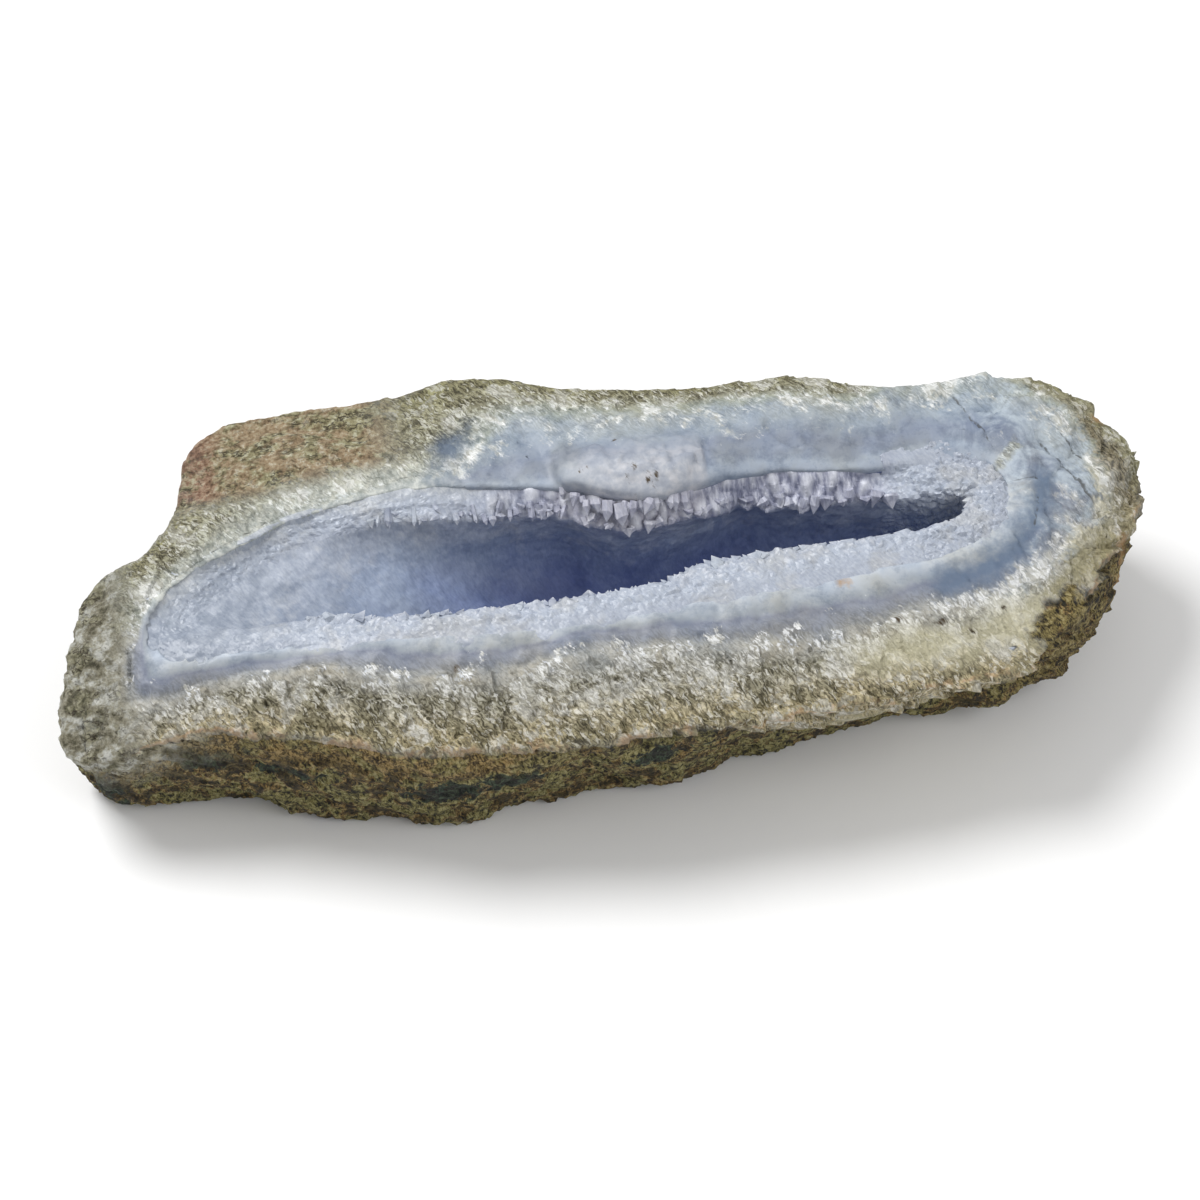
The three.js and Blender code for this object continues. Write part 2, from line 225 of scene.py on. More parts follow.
def linked(name, data):
    """A new object of the scene with this data."""
    obj = bpy.data.objects.new(name, data)
    bpy.context.scene.collection.objects.link(obj)
    return obj


def make_camera():
    data = bpy.data.cameras.new("camera")
    data.lens = 85
    data.sensor_width = 36
    camera = linked("camera", data)
    back = Vector((
        math.sin(CAMERA_TURN) * math.cos(CAMERA_TILT),
        -math.cos(CAMERA_TURN) * math.cos(CAMERA_TILT),
        math.sin(CAMERA_TILT),
    ))
    camera.location = CAMERA_TARGET + back * CAMERA_DISTANCE
    camera.rotation_euler = back.to_track_quat("Z", "Y").to_euler()
    bpy.context.scene.camera = camera


def make_floor():
    bpy.ops.mesh.primitive_plane_add(size=6, location=(0, 0, 0))
    floor = bpy.context.object
    floor.name = "floor"
    material = bpy.data.materials.new("floor_paper")
    material.use_nodes = True
    shader = material.node_tree.nodes["Principled BSDF"]
    shader.inputs["Base Color"].default_value = (0.86, 0.86, 0.86, 1)
    shader.inputs["Roughness"].default_value = 0.9
    floor.data.materials.append(material)


def add_area(name, location, size, power):
    data = bpy.data.lights.new(name, "AREA")
    data.shape = "DISK"
    data.size = size
    data.energy = power
    light = linked(name, data)
    light.location = location
    light.rotation_euler = Vector(location).to_track_quat("Z", "Y").to_euler()


def make_lights():
    world = bpy.data.worlds.new("studio")
    bpy.context.scene.world = world
    world.use_nodes = True
    background = world.node_tree.nodes["Background"]
    background.inputs["Color"].default_value = (1, 1, 1, 1)
    background.inputs["Strength"].default_value = 0.55
    add_area("key", (-0.45, 0.35, 0.95), 0.5, 9.5)
    add_area("fill", (0.6, -0.5, 0.7), 0.7, 3)
    bpy.context.scene.view_settings.view_transform = "Standard"


# ---- Mesh helpers ----

HIDDEN_KEPT = 0.1   # share of a mesh's hidden faces that stay


def applied(obj, kind, **settings):
    """The object's mesh with one modifier applied, as new mesh data."""
    modifier = obj.modifiers.new(kind.lower(), kind)
    for name, value in settings.items():
        setattr(modifier, name, value)
    bpy.context.view_layer.update()
    shown = obj.evaluated_get(bpy.context.evaluated_depsgraph_get())
    data = bpy.data.meshes.new_from_object(shown)
    obj.modifiers.clear()
    return data


def vertex_vectors(data, kind):
    values = np.empty(len(data.vertices) * 3)
    data.vertices.foreach_get(kind, values)
    return values.reshape(-1, 3)


def places(data):
    return vertex_vectors(data, "co")


def normals(data):
    return vertex_vectors(data, "normal")


def set_places(data, co):
    data.vertices.foreach_set("co", co.ravel())
    data.update()


def paint(data, **layers):
    """Keeps values for each vertex under these names, for the materials to read."""
    for name, values in layers.items():
        attribute = data.attributes.new(name, "FLOAT", "POINT")
        attribute.data.foreach_set("value", values.astype(np.float32))


def relaxed(data, co, times, hold):
    """Moves each vertex towards its neighbours' mean, less where hold is near 1."""
    edges = np.empty(len(data.edges) * 2, int)
    data.edges.foreach_get("vertices", edges)
    a, b = edges[0::2], edges[1::2]
    count = np.bincount(a, minlength=len(co)) + np.bincount(b, minlength=len(co))
    for _ in range(times):
        mean = np.stack([
            np.bincount(a, co[b, k], len(co)) + np.bincount(b, co[a, k], len(co)) for k in range(3)
        ], 1) / count[:, None]
        co = mix(co, mean, 0.6 * (1 - hold)[:, None])
    return co


def faces_of(data):
    return [tuple(p.vertices) for p in data.polygons]


def thinned(obj, hidden, most):
    """Collapses the mesh to so many triangles, the hidden part of it first and most."""
    group = obj.vertex_groups.new(name="hidden")
    group.add(np.where(hidden)[0].tolist(), 1, "REPLACE")
    first = {"vertex_group": "hidden", "vertex_group_factor": 20}
    obj.data = applied(obj, "DECIMATE", ratio=mix(1, HIDDEN_KEPT, hidden.mean()), **first)
    triangles = sum(len(p.vertices) - 2 for p in obj.data.polygons)
    obj.data = applied(obj, "DECIMATE", ratio=min(1, most / triangles))
    obj.vertex_groups.clear()


# ---- Stone ----

STONE_VOXEL = 0.5 * MM
STONE_TRIANGLES = 196000
POCKET_SLACK = 0.9   # how much wider the pocket is behind the crust than in the CAD solid
FACE_CROWN = 1.3     # how far the broken face rises halfway between the pocket and the rim
POLISHED = 0.97      # growth below which the stone is smooth chalcedony
BEHIND_CRUST = -0.1  # growth below which the stone is hidden by the crust
FAR_OFF = 5          # the greatest distance painted for a mark


def stone_zones(co, n):
    """Where each point of the stone lies. growth is 0 to 1 over the chalcedony, 1 to 2 over the
    quartz band, above 2 down the weathered outside, and below 0 in the pocket."""
    plan = co[:, :2]
    angle, _ = polar(plan)
    from_pocket = pocket.gap(plan)
    from_blue = blue.gap(plan)
    from_rim = rim.gap(plan)
    lip, edge = pocket.at(angle)[:, 2], rim.at(angle)[:, 2]
    across = np.clip(from_pocket / np.maximum(from_pocket - from_rim, 0.1), 0, 1)
    face = mix(lip, edge, across) + FACE_CROWN * np.sin(np.pi * across)
    outer = (n * outwards(plan)).sum(1)
    chalcedony = from_pocket / np.maximum(from_pocket - from_blue, 0.1)
    quartz = 1 + from_blue / np.maximum(from_blue - from_rim, 0.1)
    growth = np.where(from_blue < 0, np.clip(chalcedony, 0, 1), np.clip(quartz, 1, 2))
    drop = edge - co[:, 2]
    below = face - co[:, 2]
    flank = (below > 1.2) & (from_rim > -3)
    flank |= (below > 4) & (from_pocket > 3) & (outer > 0.05)
    flank |= (co[:, 2] < 16) & (n[:, 2] < 0)
    growth = np.where(flank, 2 + np.maximum(drop, 0) / 20, growth)
    hidden = (outer < 0.1) & (below > 1.5) & ~flank
    growth = np.where(hidden, -0.2 - below / 20, growth)
    return growth, from_pocket, drop


def oval(plan, x, y, half_x, half_y, turn=0):
    """Distance in millimetres beyond an oval's edge, negative inside it."""
    turn = math.radians(turn)
    d = plan - np.array([x, y])
    along = d[:, 0] * math.cos(turn) + d[:, 1] * math.sin(turn)
    across = d[:, 1] * math.cos(turn) - d[:, 0] * math.sin(turn)
    return (np.hypot(along / half_x, across / half_y) - 1) * min(half_x, half_y)


def ovals(plan, spots):
    """Distance beyond the nearest of the ovals, at most FAR_OFF either way."""
    return np.clip(np.min([oval(plan, *spot) for spot in spots], axis=0), -FAR_OFF, FAR_OFF)


def line_gap(plan, corners):
    """Distance to a line through the corners."""
    gaps = []
    for a, b in zip(np.array(corners[:-1], float), np.array(corners[1:], float)):
        share = np.clip(((plan - a) @ (b - a)) / ((b - a) @ (b - a)), 0, 1)
        gaps.append(np.linalg.norm(plan - a - share[:, None] * (b - a), axis=1))
    return np.min(gaps, axis=0)


# Marks on the broken face: cracks by their corners, and ovals as x, y, half width, half height, turn.
CRACKS = [
    [(64.6, 18), (65.6, 14.5), (66.2, 12), (67.6, 10), (68.6, 7)],
    [(77, 7), (78.2, 4), (80.6, 1), (82.2, -2.6), (83.8, -4.8)],
    [(73, -4.6), (72.2, -7), (70.9, -10)],
    [(67.5, -0.4), (74, -0.8)],
    [(79, 12), (83, 5), (86.4, 1)],
    [(-86, -9), (-87.2, -12.5), (-87, -16)],
    [(-20.6, 19), (-19.9, 14), (-19, 10.5)],
]
FACE_MARKS = {
    "brown_rim": [(88, 4.5, 2.8, 9, 21)],
    "cream": [(66, -26, 11, 4, 8), (47, -29, 12, 3.5, 2)],
    "khaki": [(79.5, -14.5, 6.5, 4.5, 50), (84, -2, 2.5, 6, 10), (73, -21.5, 3, 2, 20)],
    "prism": [(69.4, 4, 2.4, 1, 35), (71.8, 6, 1.5, 0.8, 75), (68, 2.4, 1.3, 0.8, 5)],
    "rust": [
        (37, -16.8, 1.4, 0.8, -30), (88.9, 11.7, 1.3, 0.9), (87.2, -10.2, 1.5, 0.8),
        (12, -14.5, 1, 0.6),
    ],
}
SPECKS = [
    (-1.1, 11.4, 0.2, 0.5), (0.2, 11.6, 0.25, 0.6), (-2, 7.9, 0.25, 0.4), (7.6, 9.5, 0.3, 0.6),
    (6.2, 7.8, 0.2, 0.6), (9.5, 7.4, 0.35, 0.9), (10.8, 5.9, 0.3, 0.8, 40), (11, 7.7, 0.3, 0.6),
    (7.3, 5.4, 0.25, 0.5, 30), (5.6, 16.4, 0.4, 0.35), (-57, -9, 0.4, 0.9), (-27, -21, 0.5, 0.7),
    (51, -25.5, 0.9, 0.5), (56, -27, 0.7, 0.4), (44, -24.5, 0.5, 0.4), (62, -24, 0.5, 0.5),
]
DEEP_BLUE = [(-21, 21.5, 2.4, 4.5, -35)]
DEEP_BLUE_LINE = [(74.5, -2), (72, -8), (67.5, -13.5), (62, -16.8), (54, -19.5)]
DEEP_BLUE_WIDTH = 4.6
ROUGH_PATCH = (72.5, -25.5, 7.5, 3.4, 36)
# Moss on the near flank, by place along it and height.
MOSS = [
    (-68, 20, 6, 3.8), (-56, 17, 4, 2), (-31, 15, 7, 3.4), (-20, 18, 4.5, 2.4), (4, 21, 4.5, 2),
    (-84, 9, 3, 5),
]


def relief(co, rock, band, milk, end, cream, calm, back, knob, crack):
    """How far each point of the stone is pushed out along its normal, in millimetres. Each term is
    a height times noise of so many millimetres in size."""
    weathered = 0.8 * clouds(co, 6) + 0.4 * clouds(co, 1.8, 3, 5)
    weathered += 0.22 * plates(co, 1.7, 0.35, 8)
    splintered = 0.35 * plates(co, 3.6, 0.3) + 0.12 * plates(co, 1.4, 0.35, 4) - 0.1
    lumpy = 0.7 + 0.3 * plates(co, 2.2, 0.4, 2) + 0.5 * clouds(co, 3, 3, 1)
    push = rock * calm * weathered
    push += band * calm * (1 - 0.7 * cream) * splintered
    push += milk * (0.35 * clouds(co, 7, 3, 2) + 0.1 * plates(co, 5, 0.5, 6))
    push += end * (0.14 * plates(co, 8, 0.4, 3) + 0.12 * plates(co, 2.5, 0.4, 1))
    push += knob * milk * lumpy
    push += back * (1.3 * clouds(co, 14, 3, 6) + 0.1 * plates(co, 4, 0.35, 7))
    push -= 0.3 * fade(crack, 0, 0.6)
    return push


def rock_share(co, growth, block_side):
    """1 where weathered rock shows: on the outside and over some stretches of the quartz band."""
    x, y, _ = co.T
    low_quartz = fade(y, -6, 2) * between(x, 8, 30, 66, 74)
    rock = rise(growth - 0.75 * low_quartz, 1.93, 2.07)
    rock = np.maximum(rock, block_side * rise(growth, 1.1, 1.35))
    rock = np.maximum(rock, fade(x, -82, -74) * rise(growth, 1, 1.3))
    rough = oval(co[:, :2], *ROUGH_PATCH) + 2.5 * clouds(co, 3, 3, 9)
    return np.maximum(rock, fade(rough, -0.5, 0.7) * rise(growth, 1.3, 1.6))


def paint_stone(data, co, growth, rock, drop, block_side, knob, crack):
    x, y, z = co.T
    plan = co[:, :2]
    deep_blue_line = line_gap(plan, DEEP_BLUE_LINE) - DEEP_BLUE_WIDTH / 2
    paint(
        data, growth=growth, rock=rock, knob=knob,
        crack=np.minimum(crack, FAR_OFF),
        far=rise(y, -5, 3),
        pale=rise(y, -2, 4) * fade(x, -28, -17),
        soft=np.maximum(rise(x, 52, 70), rise(y, -2, 8) * fade(growth, 1.1, 1.35)),
        end=rise(x, 56, 72),
        frost=fade(x, -80, -60),
        tan=block_side * fade(drop, 12, 24),
        red=block_side * fade(x, -64, -57),
        ochre=fade(x, -25, 8) * between(growth, 1.97, 2.03, 2.15, 2.5),
        specks=ovals(plan, SPECKS) + FAR_OFF * (growth > 1.98),
        deep_blue=np.minimum(ovals(plan, DEEP_BLUE), deep_blue_line),
        moss=np.where(y < 0, ovals(np.column_stack([x, z]), MOSS), FAR_OFF),
        **{name: ovals(plan, spots) for name, spots in FACE_MARKS.items()},
    )


def make_stone():
    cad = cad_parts["geode_stone"]
    block = linked("stone", cad.data.copy())
    block.data = applied(block, "REMESH", mode="VOXEL", voxel_size=STONE_VOXEL)
    data = block.data
    co = to_source(places(data))
    growth, from_pocket, drop = stone_zones(co, normals(data))
    bare = between(co[:, 0], 46, 54, 75, 80)
    bare *= rise(co[:, 1], 8, 14) * fade(drop, 1.5, 3)
    growth = mix(growth, np.minimum(growth, 0.9), bare)
    flat = co[:, 2] < 0.05
    co = relaxed(data, co, 8, np.where(flat, 1.0, 0.0))
    set_places(data, to_frame(co))
    x, y, z = co.T
    plan = co[:, :2]
    block_side = rise(y, 17, 23) * fade(x, -36, -24)
    rock = rock_share(co, growth, block_side)
    knob = between(x, -11, 4, KNOB_BREAK - 0.8, KNOB_BREAK) * fade(y, 7, 19) * (y > 0)
    crack = np.min([line_gap(plan, corners) for corners in CRACKS], axis=0)
    paint_stone(data, co, growth, rock, drop, block_side, knob, crack)
    push = relief(
        co, rock, knob=knob, crack=crack,
        band=rise(growth, 0.97, 1.12) * (1 - rock),
        milk=rise(from_pocket, 0.5, 4.5) * fade(growth, 0.85, 1.05) * (1 - rock),
        end=rise(x, 60, 72) * rise(from_pocket, 0.5, 4.5),
        cream=fade(ovals(plan, FACE_MARKS["cream"]), -1, 2),
        calm=1 - 0.55 * rise(y, 0, 12) * fade(drop, 3, 8),
        back=rock * rise(y, 0, 12) * rise(drop, 4, 12) * rise(z, 0, 4),
    )
    push[flat | (growth < BEHIND_CRUST)] = 0
    push -= POCKET_SLACK * rise(-growth, 0.28, 0.38)
    pushed = co + normals(data) * push[:, None]
    pushed[:, 2] = np.maximum(pushed[:, 2], 0)
    set_places(data, to_frame(pushed))
    thinned(block, (growth < BEHIND_CRUST) | (z < 1), STONE_TRIANGLES)
    co = places(block.data)
    co[:, 2] = np.maximum(co[:, 2], 0)
    set_places(block.data, co)
    smooth_where_polished(block.data)
    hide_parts("geode_stone")
    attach(block, "root")
    return block


def smooth_where_polished(data):
    """Chalcedony shades smooth. Quartz and rind keep their small broken facets."""
    growth = np.empty(len(data.vertices), np.float32)
    data.attributes["growth"].data.foreach_get("value", growth)
    smooth = [growth[p.vertices[0]] < POLISHED for p in data.polygons]
    data.polygons.foreach_set("use_smooth", smooth)
    data.update()


# ---- Crystal crust ----

CRUST_COLUMNS = 620
OUTER_ROWS, BAND_ROWS, HOLLOW_ROWS = 12, 14, 46   # rings of the underside, the band and the hollow
HOLLOW_FLOOR = 12     # height of its deepest place
HOLLOW_BULGE = 3      # how far its walls bulge out behind the mouth
CRUST_WALL = 1.8      # the crust's thickness at the walls
CRUST_FLOOR = 3.5     # and at the floor
ABOVE_ALL = 60        # a height from which rays are cast down onto the stone
NEAR_STONE = 2.5      # within this of the stone's surface the crust follows it
CRUST_VOXEL = 0.42
CRUST_TRIANGLES = 170000
PRISM_POINTS = 13     # a crystal's two rings of six and its tip
CREST_SPACING = 1.1   # of the crystals along the near edge
CURTAIN = (-30, 60)   # the x from and to which the far lip has teeth
TOOTH_WIDTHS = (1.4, 4.6)
TOOTH_HEIGHTS = (0.4, 2.9)
# Rows of crystals on the far lip: start, end, spacing, radii, and where on the band their roots and
# their tips lie, 0 at the mouth and 1 at the outer edge.
HANGING_ROWS = [
    (21, 50, 1.9, (0.7, 1.5), (0.1, 0.5), (-0.35, 0.05)),
    (-12, 22, 1.6, (0.5, 1.2), (0.1, 0.5), (-0.3, 0.15)),
    (-36, -4, 1.1, (0.35, 0.8), (0.05, 0.6), (-0.25, 0.2)),
]
# The row round the front of the knob: spacing, inset, height, radii, lengths in radii, and slope.
KNOB_ROW = (0.9, 1.1, 37.2, (0.5, 1.2), (2.4, 3.6), -0.9)


def floor_at(x, shallow):
    """Height of the hollow's floor: deepest right of the middle, shallow towards -X."""
    left = fade(x, -68, 6)
    right = rise(x, 46, 68)
    return mix(HOLLOW_FLOOR, shallow, np.maximum(left**1.3, 0.35 * right))


def trough(lip, t, depth, bulge):
    """The ring of a trough at share t of the way from its lip down to its floor. At the shallow
    end it slopes down gently, and elsewhere it drops steeply behind the lip."""
    steep_from = mix(-20, 4, rise(lip[:, 1], 0, 4))
    gentle = fade(lip[:, 0], -60, steep_from) * (depth == 0)
    reach = mix((1 - t**3) ** 0.6, 1 - t, gentle)
    plan = mix(HEART, lip[:, :2], reach[:, None])
    floor = floor_at(plan[:, 0], lip[:, 2] - 4) - depth
    ring = np.column_stack([plan, mix(lip[:, 2], floor, 1 - (1 - t) ** mix(1.8, 1.3, gentle))])
    swell = bulge * (1 - gentle) * math.sin(math.pi * min(1, t * 1.3))
    return ring + outwards(plan) * swell[:, None]


def far_side(plan):
    """1 on the far side of the hollow between its two ends, where the stone overhangs it."""
    x, y = plan[:, 0], plan[:, 1]
    return rise(y, 0, 4) * between(x, -40, 0, 44, 54)


def teeth(x, start, end, widths, heights):
    """Height at each x of a line of pointed teeth, whose widths and heights are from these spans."""
    feet = start + np.cumsum(RNG.uniform(*widths, int((end - start) / widths[0])))
    tips = mix(feet[:-1], feet[1:], RNG.uniform(0.3, 0.7, len(feet) - 1))
    high = RNG.uniform(*heights, len(tips))
    corners = np.column_stack([feet[:-1], tips]).ravel()
    levels = np.column_stack([high * RNG.uniform(0, 0.4, len(tips)), high]).ravel()
    return np.where(x < end, np.interp(x, corners, levels, left=0), 0)


def height_of(tree, points):
    """Height of the surface straight above or below each point, or its own where none is near."""
    heights = points[:, 2].copy()
    for i, (x, y, z) in enumerate(points):
        hit = tree.ray_cast((x, y, ABOVE_ALL), (0, 0, -1))[0]
        if hit is not None and abs(hit.z - z) < NEAR_STONE:
            heights[i] = hit.z
    return heights


def crust_rings(stone_tree):
    """Rings from the crust's underside, up to its edge, over the band and down into the hollow."""
    angle = np.linspace(-np.pi, np.pi, CRUST_COLUMNS, endpoint=False)
    edge = pocket.at(angle)
    lip = mouth.at(angle)
    x, y, _ = edge.T
    far = far_side(edge)
    near = fade(y, -10, -4) * rise(x, -70, -50)
    fan = rise(y, 0, 4) * between(x, 38, 48, 60, 68)
    ragged = clouds(edge, 5, 3, 7)
    left = rise(y, -2, 3) * fade(x, -30, -18)
    reach = mix(mix(1.7, 2.8, left), 3.4, near) * (1 + 0.4 * ragged)
    reach = reach * (1 - far) + 0.9 * far + 1.2 * fan
    edge = edge + outwards(edge[:, :2]) * reach[:, None]
    tucked = edge[:, 2] - 0.4 + 0.4 * rise(edge[:, 0], 18, 30)
    edge[:, 2] = mix(height_of(stone_tree, edge) - 0.3, tucked, far)
    lip = lip + outwards(lip[:, :2]) * 0.6 * far[:, None]
    shallow = fade(lip[:, 0], -58, -30)
    lip[:, 2] -= 1.2 * shallow * rise(lip[:, 1], -7, -2)
    tooth = np.zeros_like(lip)
    high = teeth(lip[:, 0], *CURTAIN, TOOTH_WIDTHS, TOOTH_HEIGHTS)
    high *= far * mix(0.35, 1, rise(lip[:, 0], 12, 22))
    tooth[:, :2] = -outwards(lip[:, :2])[:, :2] * high[:, None]
    tooth[:, 2] = -0.4 * high
    bulge = HOLLOW_BULGE + CRUST_WALL
    rings = [trough(edge, t, CRUST_FLOOR, bulge) for t in np.linspace(0.98, 0.04, OUTER_ROWS)]
    crest = mix(0.9, -0.3, far) * (1 - shallow)
    for share in np.linspace(1, 0, BAND_ROWS, endpoint=False):
        ring = mix(lip + tooth, edge, share)
        ring[:, 2] += crest * math.sin(math.pi * share ** 0.8)
        rings.append(ring)
    for t in 1 - (1 - np.linspace(0, 0.98, HOLLOW_ROWS)) ** 1.6:
        rings.append(trough(lip + tooth * fade(t, 0, 0.12), t, 0, HOLLOW_BULGE))
    return np.array(rings)


def draped(co, share, stone_tree, where):
    """Lays the outer part of the band over the stone and feathers its edge out beneath it."""
    moved = np.where(where & (share > 0.3) & (share <= 1))[0]
    part, own = co[moved], share[moved]
    over = mix(0.06, 0.2, rise(part[:, 1], -4, 2))
    lift = height_of(stone_tree, part) + mix(over, -0.3, rise(own, 0.6, 1))
    height = mix(np.maximum(part[:, 2], lift), lift, rise(own, 0.75, 0.95))
    co = co.copy()
    co[moved, 2] = height
    return co


def bowl(rings):
    """Points and faces of a closed bowl from its rings, with a pole at each end."""
    points = np.concatenate([rings.reshape(-1, 3), rings[0].mean(0)[None], rings[-1].mean(0)[None]])
    first, last = len(points) - 2, len(points) - 1
    here = np.arange(first).reshape(rings.shape[:2])
    after = np.roll(here, -1, axis=1)
    faces = np.stack([here[:-1], after[:-1], after[1:], here[1:]], 2).reshape(-1, 4).tolist()
    faces += [(first, b, a) for a, b in zip(here[0].tolist(), after[0].tolist())]
    faces += [(last, a, b) for a, b in zip(here[-1].tolist(), after[-1].tolist())]
    return points, faces


def mesh_object(name, points, faces):
    data = bpy.data.meshes.new(name)
    data.from_pydata(points.tolist(), [], faces)
    data.update()
    return linked(name, data)


def prisms(roots, axes, radii, lengths):
    """Closed six-sided prisms with a pointed end, their blunt end at the root."""
    count = len(roots)
    axes = axes / np.linalg.norm(axes, axis=1, keepdims=True)
    helper = np.where(np.abs(axes[:, 2:]) < 0.9, [[0, 0, 1.0]], [[1.0, 0, 0]])
    side = np.cross(axes, helper)
    side /= np.linalg.norm(side, axis=1, keepdims=True)
    other = np.cross(axes, side)
    turn = RNG.uniform(0, np.pi, count)[:, None] + np.arange(6) * np.pi / 3
    wide = radii[:, None] * RNG.uniform(0.75, 1.15, (count, 6))
    across, up = (np.cos(turn) * wide)[..., None], (np.sin(turn) * wide)[..., None]
    ring = side[:, None] * across + other[:, None] * up
    tip = np.minimum(radii * RNG.uniform(1.2, 2, count), 0.8 * lengths)
    shoulder = (lengths - tip)[:, None] + radii[:, None] * RNG.uniform(-0.3, 0.3, (count, 6))
    bottom = roots[:, None] + ring * 0.9
    top = roots[:, None] + ring + axes[:, None] * shoulder[..., None]
    lean = RNG.uniform(-0.25, 0.25, (count, 2)) * radii[:, None]
    apex = roots + axes * lengths[:, None] + side * lean[:, :1] + other * lean[:, 1:]
    points = np.concatenate([bottom, top, apex[:, None]], 1).reshape(-1, 3)
    pattern = [tuple(range(5, -1, -1))]
    for k in range(6):
        after = (k + 1) % 6
        pattern.append((k, after, 6 + after, 6 + k))
        pattern.append((6 + k, 6 + after, PRISM_POINTS - 1))
    faces = [tuple(PRISM_POINTS * i + v for v in face) for i in range(count) for face in pattern]
    return points, faces


def jittered(row, spacing):
    """The places of a row, each moved along at random by up to 0.4 of their spacing."""
    return row + RNG.uniform(-0.4, 0.4, len(row)) * spacing


def far_edge(outline, x):
    """Plan point and height of an outline's far side at each x."""
    samples = outline.samples[outline.samples[:, 1] > HEART[1] + 2]
    samples = samples[np.argsort(samples[:, 0])]
    return np.column_stack([x] + [np.interp(x, samples[:, 0], samples[:, k]) for k in (1, 2)])


def hanging(start, end, spacing, radius, root_share, tip_share):
    """A row of crystals along the far lip, as (roots, axes, radii, lengths)."""
    count = int((end - start) / spacing)
    x = jittered(np.linspace(start, end, count), spacing)
    edge, lip = far_edge(pocket, x), far_edge(mouth, x)
    edge[:, 2] -= 0.3 * far_side(edge) + 0.2
    root = mix(lip, edge, RNG.uniform(*root_share, count)[:, None])
    tip = mix(lip, edge, RNG.uniform(*tip_share, count)[:, None])
    tip[:, 0] += RNG.normal(-0.3, 0.7, count)
    tip[:, 2] += RNG.uniform(0, 0.7, count)
    axes = tip - root
    return root, axes, RNG.uniform(*radius, count), np.linalg.norm(axes, axis=1)


def knob_points(spacing, inset, z, radius, length, slope):
    """Crystals round the front of the knob at one height, so far in from its edge, pointing
    forwards with this slope, as (roots, axes, radii, lengths)."""
    x = jittered(np.arange(KNOB_X - 0.46 * KNOB_LENGTH, KNOB_BREAK - 0.5, spacing), spacing)
    reach = np.sqrt(1 - (2 * (x - KNOB_X) / KNOB_LENGTH) ** 2)
    count = len(x)
    y = KNOB_Y - 0.5 * KNOB_WIDTH * reach + inset + RNG.uniform(-0.3, 0.3, count)
    root = np.column_stack([x, y, z + RNG.uniform(-0.4, 0.4, count)])
    sideways = RNG.normal(-0.1, 0.3, count)
    axes = np.column_stack([sideways, -np.ones(count), slope + RNG.normal(0, 0.15, count)])
    radii = RNG.uniform(*radius, count)
    return root, axes, radii, radii * RNG.uniform(*length, count)


def crest_points(spacing):
    """Crystals along the near edge of the mouth, pointing into the hollow, a few of them broad."""
    angle = np.linspace(-np.pi, np.pi, 4000)
    line = mouth.at(angle)
    line = line[(line[:, 1] < -2) & (line[:, 0] > -48)]
    along = np.concatenate([[0], np.cumsum(np.linalg.norm(np.diff(line, axis=0), axis=1))])
    count = int(along[-1] / spacing)
    place = jittered(np.linspace(0, along[-1], count), spacing)
    root = np.column_stack([np.interp(place, along, line[:, k]) for k in range(3)])
    radii = np.clip(0.5 + RNG.exponential(0.45, count), 0.5, 1.8)
    inwards = -outwards(root[:, :2])
    sideways = RNG.normal(0, 0.25, count)
    axes = inwards + np.column_stack([sideways, np.zeros(count), RNG.uniform(0.05, 0.3, count)])
    root = root - inwards * radii[:, None] - np.array([0, 0, 1]) * 0.35 * radii[:, None]
    return root, axes, radii, radii * RNG.uniform(1.4, 2, count)


def crust_zones(points, tree):
    """How far in each point lies: 1 to 0 over the band from the edge to the mouth, 0 to -1 down
    the hollow, and 2 on the underside."""
    nearest = [tree.find(p) for p in points]
    row = np.array([index for _, index, _ in nearest]) // CRUST_COLUMNS
    away = np.array([distance for _, _, distance in nearest])
    band = 1 - row / BAND_ROWS
    hollow = -(row - BAND_ROWS) / HOLLOW_ROWS
    return np.where(away > CRUST_FLOOR / 2, 2, np.where(band > 0, band, hollow))


def crust_lining(rings):
    """The bowl as an object of even small faces, their points and the points' zones."""
    lining = mesh_object("crust", *bowl(rings))
    tree = kd_tree(rings[OUTER_ROWS:].reshape(-1, 3))
    lining.data = applied(lining, "REMESH", mode="VOXEL", voxel_size=CRUST_VOXEL)
    thinned(lining, crust_zones(places(lining.data), tree) > 1, CRUST_TRIANGLES)
    co = places(lining.data)
    return lining, co, crust_zones(co, tree)


def crystals():
    """Points and faces of the separate crystals, and for each point whether it is in the fringe."""
    hung = (hanging(*row) for row in HANGING_ROWS)
    rows = [crest_points(CREST_SPACING), *hung, knob_points(*KNOB_ROW)]
    roots, axes, radii, lengths = (np.concatenate(part) for part in zip(*rows))
    in_fringe = np.arange(len(roots)) >= len(rows[0][0])
    return *prisms(roots, axes, radii, lengths), np.repeat(in_fringe, PRISM_POINTS)


def crust_relief(co, top, band, near, far, right, crest, curtain):
    """How far each point of the lining is pushed out, in millimetres, and how near it is to a tip."""
    small, large = druse(co, 1.1, 3), druse(co, 2, 9)
    blades = druse(co, 2.2, 5, (1, 2.2, 2.2))
    rest = near * (1 - crest) + (1 - near) * (1 - far)
    push = top * 0.35 * clouds(co, 6, 3)
    push += crest * (0.45 * large + 0.35 * small + 0.6 * clouds(co, 3, 3, 4))
    push += rest * band * (0.15 + 0.2 * (1 - near)) * small
    push += curtain * (0.7 * blades - 0.15)
    push += right * top * (0.5 * large + 0.4 * small)
    push += (top - band) * (1 - right) * (0.12 * small + 0.08 * large)
    return push, np.clip(small * 1.2 * crest + blades * curtain, 0, 1)


